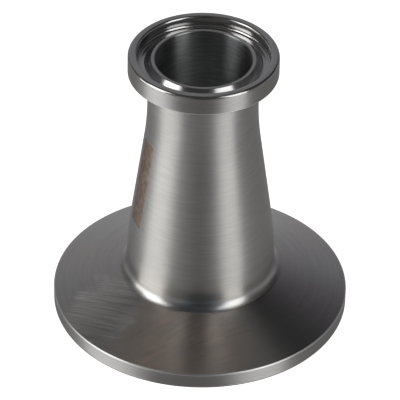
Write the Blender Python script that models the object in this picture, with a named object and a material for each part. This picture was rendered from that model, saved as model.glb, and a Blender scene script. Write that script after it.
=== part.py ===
"""Hygienic clamp reducer: two clamp ferrules butt-welded to a concentric reducing cone.

The frame is the fitting's own: the axis is Z, the origin is the centre of the large clamp face,
and the small clamp face is at the top. Every solid is turned about Z.
"""

import math

import bmesh
import bpy
from mathutils import Vector

MM = 0.001

# Driving dimensions, in millimetres.
LENGTH = 50.8
FERRULE_LENGTH = 12.7
FLANGE_TAPER_DEG = 20.0

LARGE_FLANGE_D = 50.5
LARGE_NECK_D = 25.3
LARGE_BORE_D = 22.4
LARGE_RIM = 2.9
LARGE_NECK_FILLET = 2.0

SMALL_FLANGE_D = 25.2
SMALL_NECK_D = 18.6
SMALL_BORE_D = 16.2
SMALL_RIM = 3.5
SMALL_NECK_FILLET = 1.2

# The cone: where its two knees are, and how far each knee's blend reaches to either side.
LOW_KNEE_Z = 13.3
HIGH_KNEE_Z = 37.7
KNEE_BLEND = 3.8

# The clamp face, as steps inwards from the rim, and depths below the rim's flat. Its groove has a
# 45 degree flank on the inner side and an upright wall on the outer side.
FACE_OFFSET = 0.95
GROOVE_DEPTH = 2.0
GROOVE_FILLET = 0.6
LAND_EDGE_ROUND = 0.4
FACE_EDGE_ROUND = 0.5
BACK_EDGE_ROUND = 0.25
CORNER_BREAK = 0.2
SMALL_RIM_LAND = 1.5
SMALL_GROOVE_WIDTH = 2.4
LARGE_RIM_LAND = 1.9
LARGE_GROOVE_WIDTH = 3.1

# The butt welds: a V that is wide outside and narrow at the root, which stands slightly proud inside.
WELD_CAP_HALF = 1.3
WELD_ROOT_HALF = 0.5
WELD_PENETRATION = 0.15
FUSION_GAP = 0.3

SEGMENTS = 60
ARC_STEP_DEG = 30.0
BLEND_STEPS = 3


def eased_ramp(x):
    """0 below the knee and x above it, joined by a parabola across the knee's blend."""
    if x <= -KNEE_BLEND:
        return 0.0
    if x >= KNEE_BLEND:
        return x
    return (x + KNEE_BLEND) ** 2 / (4 * KNEE_BLEND)


def tapered_radius(z, large_d, small_d):
    """Radius at height z of a wall that is straight, conical and straight again."""
    slope = (large_d - small_d) / 2 / (HIGH_KNEE_Z - LOW_KNEE_Z)
    return small_d / 2 + slope * (eased_ramp(HIGH_KNEE_Z - z) - eased_ramp(LOW_KNEE_Z - z))


def neck_radius(z):
    return tapered_radius(z, LARGE_NECK_D, SMALL_NECK_D)


def bore_radius(z):
    return tapered_radius(z, LARGE_BORE_D, SMALL_BORE_D)


def wall_points(radius_at, start_z, end_z):
    """Points (r, z) of a wall from start_z to end_z, up or down, close together only where it curves."""
    heights = {start_z, end_z}
    for knee in (LOW_KNEE_Z, HIGH_KNEE_Z):
        for i in range(2 * BLEND_STEPS + 1):
            heights.add(knee + KNEE_BLEND * (i / BLEND_STEPS - 1))
    low, high = sorted((start_z, end_z))
    inside = sorted(z for z in heights if low <= z <= high)
    if start_z > end_z:
        inside.reverse()
    return [(radius_at(z), z) for z in inside]


def rounded(corners):
    """The closed outline through (r, z) corners; a corner (r, z, radius) is rounded by that radius."""
    outline = []
    for i, corner in enumerate(corners):
        here = Vector(corner[:2])
        radius = corner[2] if len(corner) > 2 else 0.0
        if not radius:
            outline.append(here)
            continue
        back = (Vector(corners[i - 1][:2]) - here).normalized()
        ahead = (Vector(corners[(i + 1) % len(corners)][:2]) - here).normalized()
        half_angle = back.angle(ahead) / 2
        centre = here + (back + ahead).normalized() * radius / math.sin(half_angle)
        first = here + back * radius / math.tan(half_angle) - centre
        last = here + ahead * radius / math.tan(half_angle) - centre
        sweep = first.angle_signed(last)
        steps = max(1, math.ceil(abs(math.degrees(sweep)) / ARC_STEP_DEG))
        for k in range(steps + 1):
            turn = -sweep * k / steps
            x = first.x * math.cos(turn) - first.y * math.sin(turn)
            y = first.x * math.sin(turn) + first.y * math.cos(turn)
            outline.append(centre + Vector((x, y)))
    return outline


def turned_solid(name, outline, material, top_z=None):
    """The solid made by turning a closed outline about Z. With top_z it hangs face up from there."""
    solid = bmesh.new()
    loop = [solid.verts.new((r * MM, 0, z * MM)) for r, z in outline]
    edges = [solid.edges.new(pair) for pair in zip(loop, loop[1:] + loop[:1])]
    bmesh.ops.spin(
        solid,
        geom=loop + edges,
        cent=(0, 0, 0),
        axis=(0, 0, 1),
        angle=math.tau,
        steps=SEGMENTS,
        use_merge=True,
    )
    bmesh.ops.recalc_face_normals(solid, faces=solid.faces)
    mesh = bpy.data.meshes.new(name)
    solid.to_mesh(mesh)
    solid.free()
    mesh.shade_smooth()
    mesh.set_sharp_from_angle(angle=math.radians(35))
    mesh.materials.append(material)
    piece = bpy.data.objects.new(name, mesh)
    bpy.context.scene.collection.objects.link(piece)
    if top_z is not None:
        piece.location.z = top_z * MM
        piece.rotation_euler.x = math.pi
    return piece


def ferrule_outline(flange_d, bore_d, rim, rim_land, groove_width, neck_fillet, neck_wall):
    """Section of a clamp ferrule with its face at z = 0. neck_wall is the outside of its neck, upwards."""
    flange_r = flange_d / 2
    groove_out = flange_r - rim_land
    groove_in = groove_out - groove_width
    groove_floor = groove_in + GROOVE_DEPTH - FACE_OFFSET
    neck_r = neck_wall[0][0]
    shoulder_z = rim + (flange_r - neck_r) * math.tan(math.radians(FLANGE_TAPER_DEG))
    weld_end_z = FERRULE_LENGTH - WELD_ROOT_HALF - FUSION_GAP
    face = [
        (bore_d / 2, FACE_OFFSET, CORNER_BREAK),
        (groove_in, FACE_OFFSET, CORNER_BREAK),
        (groove_floor, GROOVE_DEPTH, GROOVE_FILLET),
        (groove_out, GROOVE_DEPTH, GROOVE_FILLET),
        (groove_out, 0, LAND_EDGE_ROUND),
        (flange_r, 0, FACE_EDGE_ROUND),
    ]
    back = [
        (flange_r, rim, BACK_EDGE_ROUND),
        (neck_r, shoulder_z, neck_fillet),
    ]
    return rounded(face + back + neck_wall + [(bore_d / 2, weld_end_z)])


def neck_above_shoulder(radius_at):
    """The outside of a ferrule's neck, from above its shoulder fillet to the weld bevel."""
    bevel_z = FERRULE_LENGTH - WELD_CAP_HALF - FUSION_GAP
    return wall_points(radius_at, LOW_KNEE_Z - KNEE_BLEND, bevel_z)


def large_ferrule(material):
    outline = ferrule_outline(
        LARGE_FLANGE_D,
        LARGE_BORE_D,
        LARGE_RIM,
        LARGE_RIM_LAND,
        LARGE_GROOVE_WIDTH,
        LARGE_NECK_FILLET,
        neck_above_shoulder(neck_radius),
    )
    return turned_solid("large_ferrule", outline, material)


def small_ferrule(material):
    """Drawn face down like the large one, then turned over onto the top."""
    outline = ferrule_outline(
        SMALL_FLANGE_D,
        SMALL_BORE_D,
        SMALL_RIM,
        SMALL_RIM_LAND,
        SMALL_GROOVE_WIDTH,
        SMALL_NECK_FILLET,
        neck_above_shoulder(lambda z: neck_radius(LENGTH - z)),
    )
    return turned_solid("small_ferrule", outline, material, top_z=LENGTH)


def reducing_cone(material):
    low_weld = FERRULE_LENGTH
    high_weld = LENGTH - FERRULE_LENGTH
    cap = WELD_CAP_HALF + FUSION_GAP
    root = WELD_ROOT_HALF + FUSION_GAP
    outside = wall_points(neck_radius, low_weld + cap, high_weld - cap)
    inside = wall_points(bore_radius, high_weld - root, low_weld + root)
    return turned_solid("reducing_cone", rounded(outside + inside), material)


def weld_ring(name, weld_z, material):
    """A butt weld's bead: ground flush with the neck outside, and slightly proud in the bore."""
    root_r = bore_radius(weld_z) - WELD_PENETRATION
    outline = [
        (bore_radius(weld_z - WELD_ROOT_HALF), weld_z - WELD_ROOT_HALF),
        (neck_radius(weld_z - WELD_CAP_HALF), weld_z - WELD_CAP_HALF),
        (neck_radius(weld_z), weld_z),
        (neck_radius(weld_z + WELD_CAP_HALF), weld_z + WELD_CAP_HALF),
        (bore_radius(weld_z + WELD_ROOT_HALF), weld_z + WELD_ROOT_HALF),
        (root_r, weld_z + WELD_ROOT_HALF / 2),
        (root_r, weld_z - WELD_ROOT_HALF / 2),
    ]
    return turned_solid(name, outline, material)


def steel(name, colour, roughness):
    material = bpy.data.materials.new(name)
    material.use_nodes = True
    shader = material.node_tree.nodes["Principled BSDF"]
    shader.inputs["Base Color"].default_value = (*colour, 1)
    shader.inputs["Roughness"].default_value = roughness
    shader.inputs["Metallic"].default_value = 1.0
    return material


def clear_scene():
    for thing in list(bpy.data.objects):
        bpy.data.objects.remove(thing)


def main():
    clear_scene()
    turned_steel = steel("turned_steel", (0.56, 0.55, 0.53), 0.28)
    satin_steel = steel("satin_steel", (0.60, 0.59, 0.57), 0.34)
    ground_weld = steel("ground_weld", (0.58, 0.57, 0.55), 0.36)
    large_ferrule(turned_steel)
    weld_ring("large_end_weld", FERRULE_LENGTH, ground_weld)
    reducing_cone(satin_steel)
    weld_ring("small_end_weld", LENGTH - FERRULE_LENGTH, ground_weld)
    small_ferrule(turned_steel)


main()
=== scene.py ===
import math
from typing import NamedTuple

import bmesh
import bpy
from mathutils import Matrix, Vector


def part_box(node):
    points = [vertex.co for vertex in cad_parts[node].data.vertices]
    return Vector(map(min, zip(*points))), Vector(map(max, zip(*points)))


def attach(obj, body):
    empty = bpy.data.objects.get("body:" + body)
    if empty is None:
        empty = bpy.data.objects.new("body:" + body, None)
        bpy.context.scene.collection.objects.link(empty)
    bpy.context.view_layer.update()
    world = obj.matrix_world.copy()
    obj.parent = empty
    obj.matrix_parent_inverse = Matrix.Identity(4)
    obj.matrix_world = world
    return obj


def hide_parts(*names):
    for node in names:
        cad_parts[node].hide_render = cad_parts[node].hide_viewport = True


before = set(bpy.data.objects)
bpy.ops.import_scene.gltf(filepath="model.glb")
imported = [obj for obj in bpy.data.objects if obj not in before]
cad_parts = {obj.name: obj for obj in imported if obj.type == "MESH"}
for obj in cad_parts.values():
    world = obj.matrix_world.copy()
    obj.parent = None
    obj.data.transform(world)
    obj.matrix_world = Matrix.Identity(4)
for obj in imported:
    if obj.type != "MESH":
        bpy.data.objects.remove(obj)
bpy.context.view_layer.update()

# A hygienic clamp reducer in satin stainless steel, standing on its large clamp face.
# Lengths are in millimetres until they reach Blender. The outer sizes come from the CAD frame.

MM = 0.001
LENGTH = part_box("small_ferrule")[1].z / MM
WELD_CAP_HALF = (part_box("large_end_weld")[1].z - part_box("large_end_weld")[0].z) / MM / 2
LARGE_WELD_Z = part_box("large_end_weld")[0].z / MM + WELD_CAP_HALF
SMALL_WELD_Z = LENGTH - LARGE_WELD_Z


class End(NamedTuple):
    """The sizes in which the two clamp ferrules differ."""

    flange_r: float
    neck_r: float
    bore_r: float
    rim: float
    rim_land: float
    groove_width: float
    neck_fillet: float

    @property
    def groove_out(self):
        return self.flange_r - self.rim_land

    @property
    def groove_in(self):
        return self.groove_out - self.groove_width


LARGE_END = End(
    flange_r=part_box("large_ferrule")[1].x / MM,
    neck_r=12.65,
    bore_r=11.2,
    rim=2.9,
    rim_land=1.9,
    groove_width=3.1,
    neck_fillet=2.0,
)
SMALL_END = End(
    flange_r=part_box("small_ferrule")[1].x / MM,
    neck_r=9.3,
    bore_r=8.1,
    rim=3.5,
    rim_land=1.5,
    groove_width=2.4,
    neck_fillet=1.2,
)

# The cone: where its two knees are, and how far each knee's blend reaches to either side.
LOW_KNEE_Z = 13.3
HIGH_KNEE_Z = 37.7
KNEE_BLEND = 3.8

# The flanges' backs and faces. A face has an outer land, a gasket groove with a 45 degree inner
# flank, and an inner land that lies deeper than the outer one.
FLANGE_TAPER = math.radians(20)
FACE_OFFSET = 0.95
GROOVE_DEPTH = 2.0
GROOVE_FILLET = 0.6
LAND_EDGE_ROUND = 0.4
FACE_EDGE_ROUND = 0.5
BACK_EDGE_ROUND = 0.25
CORNER_BREAK = 0.2

# The butt welds inside: each root's half-width, how proud it stands, and its rounded corners.
WELD_ROOT_HALF = 0.5
WELD_PENETRATION = 0.15
WELD_ROOT_ROUND = 0.1

# How deep below the outside of the wall a face still takes the outside's finish.
WALL_SKIN = 0.1

# Mesh fineness: turns, arcs and knees. A point is held close to both ends of each stretch that is
# long enough, which keeps the shading of a flat stretch flat.
SEGMENTS = 240
ARC_STEP = math.radians(7.5)
KNEE_STEPS = 10
HOLD = 0.04
LONG_ENOUGH_TO_HOLD = 0.3
SHARP_ANGLE = math.radians(40)


def eased_ramp(x):
    """0 below a knee and x above it, joined by a parabola across the knee's blend."""
    if x <= -KNEE_BLEND:
        return 0.0
    if x >= KNEE_BLEND:
        return x
    return (x + KNEE_BLEND) ** 2 / (4 * KNEE_BLEND)


def tapered_radius(z, large_r, small_r):
    """Radius at height z of a wall that is straight, conical and straight again."""
    slope = (large_r - small_r) / (HIGH_KNEE_Z - LOW_KNEE_Z)
    return small_r + slope * (eased_ramp(HIGH_KNEE_Z - z) - eased_ramp(LOW_KNEE_Z - z))


def neck_radius(z):
    return tapered_radius(z, LARGE_END.neck_r, SMALL_END.neck_r)


def bore_radius(z):
    return tapered_radius(z, LARGE_END.bore_r, SMALL_END.bore_r)


def wall_points(radius_at, start_z, end_z):
    """Points (r, z) of a wall from start_z to end_z, up or down, close together where it curves."""
    heights = {start_z, end_z}
    for knee in (LOW_KNEE_Z, HIGH_KNEE_Z):
        for i in range(2 * KNEE_STEPS + 1):
            heights.add(knee + KNEE_BLEND * (i / KNEE_STEPS - 1))
    low, high = sorted((start_z, end_z))
    inside = sorted(z for z in heights if low <= z <= high)
    if start_z > end_z:
        inside.reverse()
    return [(radius_at(z), z) for z in inside]


def rounded(corners):
    """The closed outline through (r, z) corners. A corner (r, z, radius) is rounded by that much."""
    outline = []
    for i, corner in enumerate(corners):
        here = Vector(corner[:2])
        radius = corner[2] if len(corner) > 2 else 0.0
        if not radius:
            outline.append(here)
            continue
        back = (Vector(corners[i - 1][:2]) - here).normalized()
        ahead = (Vector(corners[(i + 1) % len(corners)][:2]) - here).normalized()
        half_angle = back.angle(ahead) / 2
        centre = here + (back + ahead).normalized() * radius / math.sin(half_angle)
        first = here + back * radius / math.tan(half_angle) - centre
        last = here + ahead * radius / math.tan(half_angle) - centre
        sweep = first.angle_signed(last)
        steps = max(2, math.ceil(abs(sweep) / ARC_STEP))
        for k in range(steps + 1):
            turn = -sweep * k / steps
            x = first.x * math.cos(turn) - first.y * math.sin(turn)
            y = first.x * math.sin(turn) + first.y * math.cos(turn)
            outline.append(centre + Vector((x, y)))
    return outline


def held(outline):
    """The outline with a point held close to each end of its long stretches."""
    points = []
    for i, here in enumerate(outline):
        ahead = outline[(i + 1) % len(outline)] - here
        points.append(here)
        if ahead.length > LONG_ENOUGH_TO_HOLD:
            step = ahead.normalized() * HOLD
            points.append(here + step)
            points.append(here + ahead - step)
    return points


def in_scene(name, data):
    """A new object of the scene."""
    thing = bpy.data.objects.new(name, data)
    bpy.context.scene.collection.objects.link(thing)
    return thing


def turned_piece(name, outline, finish_at, finishes, node):
    """A closed outline turned about the axis. finish_at(r, z) names the surface's finish there."""
    outline = held(outline)
    names = list(finishes)
    turned = bmesh.new()
    rings = []
    for i in range(SEGMENTS):
        angle = math.tau * i / SEGMENTS
        across = Vector((math.cos(angle), math.sin(angle)))
        rings.append([turned.verts.new((*(across * p.x * MM), p.y * MM)) for p in outline])
    for i, ring in enumerate(rings):
        beside = rings[(i + 1) % SEGMENTS]
        for k, here in enumerate(outline):
            ahead = (k + 1) % len(outline)
            face = turned.faces.new((ring[k], ring[ahead], beside[ahead], beside[k]))
            middle = (here + outline[ahead]) / 2
            face.material_index = names.index(finish_at(middle.x, middle.y))
            face.smooth = True
    bmesh.ops.recalc_face_normals(turned, faces=turned.faces)
    mesh = bpy.data.meshes.new(name)
    turned.to_mesh(mesh)
    turned.free()
    mesh.set_sharp_from_angle(angle=SHARP_ANGLE)
    for finish in names:
        mesh.materials.append(finishes[finish])
    piece = in_scene(name, mesh)
    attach(piece, "root")
    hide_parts(node)


# The turn from the tangent to the lines round the axis, as a share of a full turn.
TANGENT_TO_LINES = 0.25

# The levels between which nearly all of a noise lies.
NOISE_LEVELS = (0.3, 0.7)


class Finish:
    """One material, and the places and patterns that its looks are made of.

    self.x, self.y, self.z and self.r are where the surface is, in mm, as nodes' outputs.
    """

    def __init__(self, name, colour, roughness, anisotropy):
        self.material = bpy.data.materials.new(name)
        self.material.use_nodes = True
        self.tree = self.material.node_tree
        self.shader = self.tree.nodes["Principled BSDF"]
        self.colour = colour
        self.roughness = roughness
        self.shader.inputs["Metallic"].default_value = 1.0
        self.shader.inputs["Anisotropic"].default_value = anisotropy
        self.shader.inputs["Anisotropic Rotation"].default_value = TANGENT_TO_LINES
        around = self.add("ShaderNodeTangent", {}, direction_type="RADIAL", axis="Z")
        self.tree.links.new(around, self.shader.inputs["Tangent"])
        self.place = self.add("ShaderNodeTexCoord", {}, output="Object")
        split = self.tree.nodes.new("ShaderNodeSeparateXYZ")
        self.tree.links.new(self.place, split.inputs[0])
        self.x, self.y, self.z = (self.maths("DIVIDE", split.outputs[i], MM) for i in range(3))
        square = self.plus(self.times(self.x, self.x), self.times(self.y, self.y))
        self.r = self.maths("SQRT", square)

    def add(self, kind, inputs, output=0, **settings):
        """A new node's output. An input is a number, a colour, or another node's output."""
        node = self.tree.nodes.new(kind)
        for key, value in settings.items():
            setattr(node, key, value)
        for key, value in inputs.items():
            if isinstance(value, bpy.types.NodeSocket):
                self.tree.links.new(value, node.inputs[key])
            else:
                node.inputs[key].default_value = value
        return node.outputs[output]

    def maths(self, operation, *values):
        return self.add("ShaderNodeMath", dict(enumerate(values)), operation=operation)

    def plus(self, a, b):
        return self.maths("ADD", a, b)

    def minus(self, a, b):
        return self.maths("SUBTRACT", a, b)

    def times(self, a, b):
        return self.maths("MULTIPLY", a, b)

    def ramp(self, value, low, high, to_low=0.0, to_high=1.0):
        """to_low where the value is at low, to_high where it is at high, and smooth between.

        It stays at each of them beyond, and low may be the larger of the two limits.
        """
        inputs = {"Value": value, 1: low, 2: high, 3: to_low, 4: to_high}
        return self.add("ShaderNodeMapRange", inputs, interpolation_type="SMOOTHSTEP")

    def blend(self, factor, under, over):
        """The colour under where the factor is 0, and over where it is 1."""
        return self.add("ShaderNodeMix", {0: factor, 6: under, 7: over}, output=2, data_type="RGBA")

    def shade(self, colour, factor, strength):
        """The colour made darker or lighter by up to strength as factor goes from 0 to 1."""
        gain = self.ramp(factor, 0.0, 1.0, 1 - strength, 1 + strength)
        return self.add("ShaderNodeVectorMath", {0: colour, "Scale": gain}, operation="SCALE")

    def turned_lines(self, spacing, per_radian):
        """Noise drawn out round the axis: spacing is in mm across the lines."""
        across = self.add("ShaderNodeCombineXYZ", {
            0: self.maths("DIVIDE", self.r, spacing),
            1: self.maths("DIVIDE", self.z, spacing),
            2: self.times(self.maths("DIVIDE", self.x, self.r), per_radian),
        })
        along = self.times(self.maths("DIVIDE", self.y, self.r), per_radian)
        inputs = {"Vector": across, "W": along, "Scale": 1.0, "Detail": 2.0, "Roughness": 0.6}
        return self.add("ShaderNodeTexNoise", inputs, noise_dimensions="4D")

    def clouds(self, size, seed=0.0, detail=3.0):
        """Soft noise with features of about the given size in mm."""
        inputs = {"Vector": self.place, "W": seed, "Scale": 1 / (size * MM), "Detail": detail}
        return self.add("ShaderNodeTexNoise", inputs, noise_dimensions="4D")

    def scratches(self, direction, length, spacing, seed):
        """Noise drawn out along a direction of the XY plane, in degrees from +X."""
        turn = math.radians(direction)
        cos, sin = math.cos(turn), math.sin(turn)
        along = self.plus(self.times(self.x, cos), self.times(self.y, sin))
        across = self.minus(self.times(self.y, cos), self.times(self.x, sin))
        vector = self.add("ShaderNodeCombineXYZ", {
            0: self.maths("DIVIDE", along, length),
            1: self.maths("DIVIDE", across, spacing),
            2: seed,
        })
        inputs = {"Vector": vector, "Scale": 1.0, "Detail": 1.0}
        return self.add("ShaderNodeTexNoise", inputs, noise_dimensions="3D")

    def distance(self, x, y):
        """How far from the point (x, y) in mm, in the XY plane."""
        across = self.maths("POWER", self.minus(self.x, x), 2.0)
        along = self.maths("POWER", self.minus(self.y, y), 2.0)
        return self.maths("SQRT", self.plus(across, along))

    def azimuth(self):
        """The way round the axis in radians: 0 in front, and growing to the right."""
        return self.maths("ARCTAN2", self.x, self.times(self.y, -1.0))

    def finish(self, colour, roughness, height, height_mm):
        """Puts the colour, roughness and relief onto the shader."""
        relief = {"Height": height, "Distance": height_mm * MM, "Strength": 1.0}
        self.tree.links.new(colour, self.shader.inputs["Base Color"])
        self.tree.links.new(roughness, self.shader.inputs["Roughness"])
        self.tree.links.new(self.add("ShaderNodeBump", relief), self.shader.inputs["Normal"])
        return self.material


# The lines of every finish: their spacing in mm and changes per radian, the share of the fine ones,
# the noise levels between which they go from dark to bright, and how high they stand in mm.
FINE_LINES = (0.2, 3)
COARSE_LINES = (0.7, 0.8)
FINE_SHARE = 0.7
LINE_LEVELS = (0.36, 0.64)
LINE_RELIEF = 0.0015
HANDLING_MARK_SIZE = 5


def turned_finish(name, colour, roughness, anisotropy, contrast=0.05, spread=0.03, wear=None):
    """Bare steel as the lathe or the brush leaves it: lines round the axis, and handling marks.

    wear, if given, is called with the finish, its tone and its roughness, and returns the last two
    changed.
    """
    steel = Finish(name, colour, roughness, anisotropy)
    fine = steel.times(steel.turned_lines(*FINE_LINES), FINE_SHARE)
    coarse = steel.times(steel.turned_lines(*COARSE_LINES), 1 - FINE_SHARE)
    lines = steel.plus(fine, coarse)
    sharp = steel.ramp(lines, *LINE_LEVELS)
    marks = steel.ramp(steel.clouds(HANDLING_MARK_SIZE), *NOISE_LEVELS)
    tone = steel.shade(steel.colour, sharp, contrast)
    rough = steel.plus(steel.times(steel.plus(sharp, marks), spread), steel.roughness)
    if wear:
        tone, rough = wear(steel, tone, rough)
    return steel.finish(tone, rough, lines, LINE_RELIEF)


# The etched band on the cone's left side. Each edge has where the band starts and where it is full:
# the sides as azimuths in radians, the ends as heights in mm. The right side leans about MIDDLE_Z.
ETCHED_LEFT = (-1.42, -1.36)
ETCHED_RIGHT = (-1.00, -1.05)
ETCHED_BOTTOM = (18.5, 18.9)
ETCHED_TOP = (35.3, 34.9)
ETCHED_MIDDLE_Z = 27.0
ETCHED_LEAN = 0.0042
ETCHED_WOBBLE = 0.012
ETCHED_MM_PER_WOBBLE = 10.0
ETCHED_ROUGHNESS = 0.15
DARK_ETCH = (0.38, 0.28, 0.22, 1)
LIGHT_ETCH = (0.53, 0.43, 0.36, 1)


def etched_patch(steel, tone, rough):
    """A plain brown laser-etched band up the cone's left side, mottled, with no lettering."""
    mottle = steel.clouds(0.8, seed=4.0)
    wobble = steel.ramp(mottle, *NOISE_LEVELS, -ETCHED_WOBBLE, ETCHED_WOBBLE)
    turn = steel.plus(steel.azimuth(), wobble)
    leaning = steel.minus(turn, steel.times(steel.minus(steel.z, ETCHED_MIDDLE_Z), ETCHED_LEAN))
    height = steel.plus(steel.z, steel.times(wobble, ETCHED_MM_PER_WOBBLE))
    sides = steel.times(steel.ramp(turn, *ETCHED_LEFT), steel.ramp(leaning, *ETCHED_RIGHT))
    ends = steel.times(steel.ramp(height, *ETCHED_BOTTOM), steel.ramp(height, *ETCHED_TOP))
    mask = steel.times(sides, ends)
    brown = steel.blend(steel.ramp(mottle, 0.35, 0.65), DARK_ETCH, LIGHT_ETCH)
    grain = steel.ramp(steel.clouds(0.35, seed=9.0), 0.25, 0.5, 0.7, 1.0)
    tone = steel.blend(steel.times(mask, grain), tone, brown)
    return tone, steel.plus(rough, steel.times(mask, ETCHED_ROUGHNESS))


# Painted shade, blue-grey, on the shoulder's front: how far round it fades in and is full, and how
# high.
# Then the heights between which the shoulder's polish goes over into the satin.
SHOULDER_PAINTED_SHADE = (0.36, 0.40, 0.44, 1)
PAINTED_SHADE_AZIMUTH = (0.45, 0.15)
PAINTED_SHADE_Z = (11.4, 9.4)
PAINTED_SHADE_STRENGTH = 0.7
POLISH_Z = (9.4, 11.3)
POLISH_ROUGHNESS = 0.09


def polish_and_painted_shade(steel, tone, rough):
    """A bright shoulder with painted blue-grey shade on its front, and the neck's satin above it."""
    # Painted shade: the shoulder's front, low down, is made darker and bluer.
    front = steel.ramp(steel.maths("ABSOLUTE", steel.azimuth()), *PAINTED_SHADE_AZIMUTH)
    low = steel.ramp(steel.z, *PAINTED_SHADE_Z, 0.0, PAINTED_SHADE_STRENGTH)
    tone = steel.blend(steel.times(front, low), tone, SHOULDER_PAINTED_SHADE)
    return tone, steel.minus(rough, steel.ramp(steel.z, *POLISH_Z, POLISH_ROUGHNESS, 0.0))


# The flange's worn back: two faint handling tints, a streaked brown tint in front, and a scuffed
# area.
# A zone is its middle (x, y) in mm, and the distances at which it starts and is full.
HANDLING_TINTS = ((1.0, 0.95, 0.93, 1), (0.97, 0.97, 0.95, 1))
BROWN_TINT = (0.78, 0.68, 0.62, 1)
BROWN_MIDDLE = (-2.0, -19.0)
BROWN_REACH = (15.0, 7.0)
SCUFF_COLOUR = (1.0, 0.98, 0.94, 1)
SCUFF_MIDDLE = (-16.5, -10.5)
SCUFF_REACH = (9.5, 4.0)
SCUFF_RAGGEDNESS = 2.0
SCUFF_STRENGTH = 0.8


def worn_back(steel, tone, rough):
    """Straight scuffs on one side of the flange, a brown tint in front, and faint handling tints."""
    handled = steel.ramp(steel.clouds(9, seed=2.0, detail=1.0), 0.40, 0.60)
    tint = steel.blend(handled, *HANDLING_TINTS)
    tone = steel.add("ShaderNodeVectorMath", {0: tone, 1: tint}, operation="MULTIPLY")

    near_brown = steel.ramp(steel.distance(*BROWN_MIDDLE), *BROWN_REACH)
    streaks = steel.scratches(28, length=5.0, spacing=0.6, seed=5.0)
    streaks = steel.ramp(streaks, *NOISE_LEVELS, 0.3, 0.95)
    tone = steel.blend(steel.times(near_brown, streaks), tone, BROWN_TINT)

    ragged = steel.clouds(3, seed=6.0)
    ragged = steel.ramp(ragged, *NOISE_LEVELS, -SCUFF_RAGGEDNESS, SCUFF_RAGGEDNESS)
    near_scuff = steel.ramp(steel.plus(steel.distance(*SCUFF_MIDDLE), ragged), *SCUFF_REACH)
    lines = steel.ramp(steel.scratches(-28, length=12.0, spacing=0.22, seed=3.0), 0.42, 0.62)
    hairs = steel.ramp(steel.scratches(-24, length=12.0, spacing=0.12, seed=8.0), 0.58, 0.66)
    haze = steel.plus(steel.times(lines, 0.6), 0.2)
    scuffed = steel.times(steel.times(near_scuff, steel.plus(haze, hairs)), SCUFF_STRENGTH)
    return steel.blend(scuffed, tone, SCUFF_COLOUR), rough


SATIN = (0.62, 0.61, 0.59)
SATIN_ROUGHNESS = 0.38


def finishes_of_the_fitting():
    """The materials, under the names that the finish_at functions give.

    The numbers after a colour are the roughness and the anisotropy, and then, where they are not
    the usual ones, the contrast and the spread.
    """
    return {
        "satin": turned_finish("satin_neck", SATIN, SATIN_ROUGHNESS, 0.65),
        "etched": turned_finish("etched_cone", SATIN, SATIN_ROUGHNESS, 0.65, wear=etched_patch),
        "shoulder": turned_finish(
            "shoulder", SATIN, SATIN_ROUGHNESS, 0.72, spread=0.02, wear=polish_and_painted_shade
        ),
        "back": turned_finish(
            "flange_back", (0.60, 0.595, 0.58), 0.245, 0.8, 0.04, 0.008, wear=worn_back
        ),
        "rim": turned_finish("rim_side", (0.56, 0.55, 0.535), 0.37, 0.85),
        # The back edge's light colour is a painted highlight along the flange's back edge.
        "edge": turned_finish("painted_highlight_edge", (0.88, 0.87, 0.86), 0.34, 0.3),
        "faced": turned_finish("faced_land", (0.61, 0.60, 0.585), 0.40, 0.3),
        "bright": turned_finish("bright_turned", (0.55, 0.545, 0.54), 0.15, 0.4, 0.06),
        "bore": turned_finish("bore_wall", (0.44, 0.445, 0.45), 0.31, 0.95, 0.15),
    }


def ferrule_outline(end, neck_wall):
    """Section of an end's ferrule, face at z = 0. neck_wall is its neck's outside, upwards."""
    groove_floor = end.groove_in + GROOVE_DEPTH - FACE_OFFSET
    neck_r = neck_wall[0][0]
    shoulder_z = end.rim + (end.flange_r - neck_r) * math.tan(FLANGE_TAPER)
    face = [
        (end.bore_r, FACE_OFFSET, CORNER_BREAK),
        (end.groove_in, FACE_OFFSET, CORNER_BREAK),
        (groove_floor, GROOVE_DEPTH, GROOVE_FILLET),
        (end.groove_out, GROOVE_DEPTH, GROOVE_FILLET),
        (end.groove_out, 0, LAND_EDGE_ROUND),
        (end.flange_r, 0, FACE_EDGE_ROUND),
    ]
    back = [
        (end.flange_r, end.rim, BACK_EDGE_ROUND),
        (neck_r, shoulder_z, end.neck_fillet),
    ]
    return rounded(face + back + neck_wall + [(end.bore_r, LARGE_WELD_Z - WELD_ROOT_HALF)])


def ferrule_finish(end, neck):
    """finish_at for an end's ferrule, by the radius and the depth below its face."""

    def finish_at(r, depth):
        if r < end.bore_r + CORNER_BREAK / 2:
            return "bore"
        if depth < GROOVE_DEPTH + CORNER_BREAK and r < end.groove_out + LAND_EDGE_ROUND:
            on_inner_land = r < end.groove_in and depth < FACE_OFFSET + CORNER_BREAK
            return "faced" if on_inner_land else "bright"
        if depth < CORNER_BREAK / 10:
            return "faced"
        if depth < FACE_EDGE_ROUND:
            return "bright"
        if depth < end.rim - BACK_EDGE_ROUND:
            return "rim"
        if r > end.flange_r - BACK_EDGE_ROUND:
            return "edge"
        return "back" if r > end.neck_r + end.neck_fillet / 2 else neck

    return finish_at


def neck_above_shoulder(radius_at):
    """The outside of a ferrule's neck, from above its shoulder fillet to the weld."""
    return wall_points(radius_at, LOW_KNEE_Z - KNEE_BLEND, LARGE_WELD_Z - WELD_CAP_HALF)


def wall_finish(outside):
    """finish_at for a length of the wall: the given finish outside, and the bore's elsewhere."""
    return lambda r, z: outside if r > neck_radius(z) - WALL_SKIN else "bore"


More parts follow.
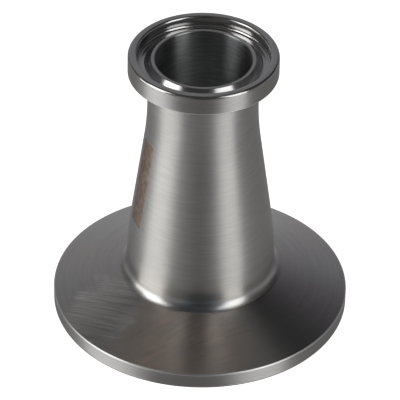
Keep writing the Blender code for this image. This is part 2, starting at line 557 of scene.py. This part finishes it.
def weld_outline(weld_z):
    """Section of a butt weld: flush with the wall outside, and slightly proud in the bore."""
    root_r = bore_radius(weld_z) - WELD_PENETRATION
    root = [
        (bore_radius(weld_z + WELD_ROOT_HALF), weld_z + WELD_ROOT_HALF),
        (root_r, weld_z + WELD_ROOT_HALF / 2, WELD_ROOT_ROUND),
        (root_r, weld_z - WELD_ROOT_HALF / 2, WELD_ROOT_ROUND),
        (bore_radius(weld_z - WELD_ROOT_HALF), weld_z - WELD_ROOT_HALF),
    ]
    return rounded(wall_points(neck_radius, weld_z - WELD_CAP_HALF, weld_z + WELD_CAP_HALF) + root)


def make_fitting():
    finishes = finishes_of_the_fitting()
    large = ferrule_outline(LARGE_END, neck_above_shoulder(neck_radius))
    at_large = ferrule_finish(LARGE_END, "shoulder")
    turned_piece("large_ferrule_turned", large, at_large, finishes, "large_ferrule")

    face_down = ferrule_outline(SMALL_END, neck_above_shoulder(lambda z: neck_radius(LENGTH - z)))
    small = [Vector((p.x, LENGTH - p.y)) for p in face_down]
    below_face = ferrule_finish(SMALL_END, "satin")

    def at_small(r, z):
        return below_face(r, LENGTH - z)

    turned_piece("small_ferrule_turned", small, at_small, finishes, "small_ferrule")

    outside = wall_points(neck_radius, LARGE_WELD_Z + WELD_CAP_HALF, SMALL_WELD_Z - WELD_CAP_HALF)
    inside = wall_points(bore_radius, SMALL_WELD_Z - WELD_ROOT_HALF, LARGE_WELD_Z + WELD_ROOT_HALF)
    cone = rounded(outside + inside)
    at_cone = wall_finish("etched")
    turned_piece("cone_brushed", cone, at_cone, finishes, "reducing_cone")

    at_weld = wall_finish("satin")
    for name, node, weld_z in (
        ("large_weld_ground", "large_end_weld", LARGE_WELD_Z),
        ("small_weld_ground", "small_end_weld", SMALL_WELD_Z),
    ):
        turned_piece(name, weld_outline(weld_z), at_weld, finishes, node)


# The floor: its size in metres, how far below the fitting it lies, and the glow that keeps it white.
FLOOR_RADIUS = 4.0
FLOOR_SIDES = 96
FLOOR_GAP = 0.05
FLOOR_GLOW = 0.95


def make_floor():
    mesh = bpy.data.meshes.new("floor")
    disc = bmesh.new()
    bmesh.ops.create_circle(disc, cap_ends=True, radius=FLOOR_RADIUS, segments=FLOOR_SIDES)
    disc.to_mesh(mesh)
    disc.free()
    floor = in_scene("floor", mesh)
    floor.location.z = -FLOOR_GAP * MM
    paint = bpy.data.materials.new("pale_floor")
    paint.use_nodes = True
    shader = paint.node_tree.nodes["Principled BSDF"]
    shader.inputs["Base Color"].default_value = (0.9, 0.9, 0.9, 1)
    shader.inputs["Roughness"].default_value = 0.9
    shader.inputs["Emission Color"].default_value = (1, 1, 1, 1)
    shader.inputs["Emission Strength"].default_value = FLOOR_GLOW
    mesh.materials.append(paint)
    floor.visible_glossy = False
    floor.visible_shadow = False


# The camera's distance, height and lean, what it looks at, its lens, and its near and far clipping
# in metres.
CAMERA_DISTANCE = 610.0
CAMERA_ELEVATION = math.radians(36.73)
CAMERA_ROLL = math.radians(0.95)
CAMERA_TARGET = Vector((-0.23, 0, 20.7))
CAMERA_LENS = 322.8
CAMERA_SENSOR = 36
CAMERA_CLIP = (0.05, 20)


def make_camera():
    back = Vector((0, -math.cos(CAMERA_ELEVATION), math.sin(CAMERA_ELEVATION)))
    tilt = Matrix.Rotation(math.pi / 2 - CAMERA_ELEVATION, 4, "X")
    roll = Matrix.Rotation(CAMERA_ROLL, 4, "Z")
    place = Matrix.Translation((CAMERA_TARGET + back * CAMERA_DISTANCE) * MM)
    data = bpy.data.cameras.new("camera")
    data.lens = CAMERA_LENS
    data.sensor_width = CAMERA_SENSOR
    data.clip_start, data.clip_end = CAMERA_CLIP
    camera = in_scene("camera", data)
    camera.matrix_world = place @ tilt @ roll
    bpy.context.scene.camera = camera


# The lights: each one's name, its radiance, the azimuth and elevation of its middle, and how far it
# reaches to both sides, down and up, all in degrees as seen from the fitting. They are at a
# distance given in metres.
LIGHT_DISTANCE = 0.7
SOFTBOXES = (
    ("left_softbox_low", 1.6, -77, 9, 22, 15, 15),
    ("left_softbox_high", 2.6, -72, 37, 14, 13, 13),
    ("right_softbox", 1.8, 50, 26, 14, 28, 31),
    ("left_bounce_card", 0.85, -70, -35, 20, 20, 20),
    ("right_bounce_card", 0.75, 48, -37, 16, 20, 20),
)

# The dim studio that the steel mirrors: its grey from straight down (0) to straight up (1), and
# soft glows and dark flags in it, each with its azimuth, elevation and half-width in degrees.
STUDIO_GREYS = (
    (0.0, 0.18),
    (0.38, 0.19),
    (0.44, 0.36),
    (0.51, 0.36),
    (0.56, 0.11),
    (0.82, 0.07),
    (0.93, 0.045),
    (1.0, 0.045),
)
STUDIO_GLOWS = (
    (180, -36, 42, (0.10, 0.10, 0.10)),
    (180, 14, 58, (0.105, 0.105, 0.125)),
    (180, 36, 40, (0.04, 0.04, 0.04)),
    (-150, 28, 42, (0.055, 0.055, 0.052)),
    (-150, 71, 10, (0.20, 0.175, 0.15)),
    (163, 75, 8, (0.17, 0.155, 0.14)),
    (140, 43, 30, (-0.06, -0.06, -0.06)),
    (-137, 58, 14, (-0.07, -0.07, -0.07)),
    (-128, 16, 24, (-0.06, -0.06, -0.06)),
    (128, 16, 24, (-0.06, -0.06, -0.06)),
    (-145, -4, 17, (-0.16, -0.16, -0.16)),
    (145, -4, 17, (-0.16, -0.16, -0.16)),
    (0, -4, 30, (-0.20, -0.20, -0.20)),
    (0, -42, 28, (0.06, 0.055, 0.05)),
)


def direction(azimuth, elevation):
    """The way to a point of the surroundings. Azimuth 0 is in front, and it grows to the right."""
    a, e = math.radians(azimuth), math.radians(elevation)
    return Vector((math.sin(a) * math.cos(e), -math.cos(a) * math.cos(e), math.sin(e)))


def make_softbox(name, radiance, azimuth, elevation, half_width, low, high):
    """A flat light that faces the middle of the fitting."""
    across, down, up = (math.tan(math.radians(v)) for v in (half_width, low, high))
    data = bpy.data.lights.new(name, "AREA")
    data.shape = "RECTANGLE"
    data.size = 2 * across * LIGHT_DISTANCE
    data.size_y = (up + down) * LIGHT_DISTANCE
    data.energy = radiance * math.pi * data.size * data.size_y
    away = direction(azimuth, elevation)
    facing = away.to_track_quat("Z", "Y")
    middle = away + facing @ Vector((0, (up - down) / 2, 0))
    lamp = in_scene(name, data)
    lamp.location = middle * LIGHT_DISTANCE + Vector((0, 0, LENGTH / 2 * MM))
    lamp.rotation_euler = facing.to_euler()
    lamp.visible_camera = False


def make_world():
    world = bpy.data.worlds.new("studio")
    world.use_nodes = True
    nodes, links = world.node_tree.nodes, world.node_tree.links
    where = nodes.new("ShaderNodeTexCoord").outputs["Generated"]
    split = nodes.new("ShaderNodeSeparateXYZ")
    height = nodes.new("ShaderNodeMapRange")
    height.inputs["From Min"].default_value = -1
    greys = nodes.new("ShaderNodeValToRGB")
    while len(greys.color_ramp.elements) < len(STUDIO_GREYS):
        greys.color_ramp.elements.new(0.5)
    for element, (position, grey) in zip(greys.color_ramp.elements, STUDIO_GREYS):
        element.position = position
        element.color = (grey, grey, grey, 1)
    links.new(where, split.inputs[0])
    links.new(split.outputs["Z"], height.inputs["Value"])
    links.new(height.outputs["Result"], greys.inputs["Fac"])
    total = greys.outputs["Color"]
    for azimuth, elevation, half_width, colour in STUDIO_GLOWS:
        nearness = nodes.new("ShaderNodeVectorMath")
        nearness.operation = "DOT_PRODUCT"
        nearness.inputs[1].default_value = direction(azimuth, elevation)
        glow = nodes.new("ShaderNodeMapRange")
        glow.interpolation_type = "SMOOTHSTEP"
        glow.inputs["From Min"].default_value = math.cos(math.radians(half_width))
        with_glow = nodes.new("ShaderNodeVectorMath")
        with_glow.operation = "MULTIPLY_ADD"
        with_glow.inputs[1].default_value = colour
        links.new(where, nearness.inputs[0])
        links.new(nearness.outputs["Value"], glow.inputs["Value"])
        links.new(glow.outputs["Result"], with_glow.inputs[0])
        links.new(total, with_glow.inputs[2])
        total = with_glow.outputs["Vector"]
    links.new(total, nodes["Background"].inputs["Color"])
    bpy.context.scene.world = world


def make_light():
    for softbox in SOFTBOXES:
        make_softbox(*softbox)
    make_world()
    bpy.context.scene.view_settings.view_transform = "Standard"


make_fitting()
make_floor()
make_camera()
make_light()
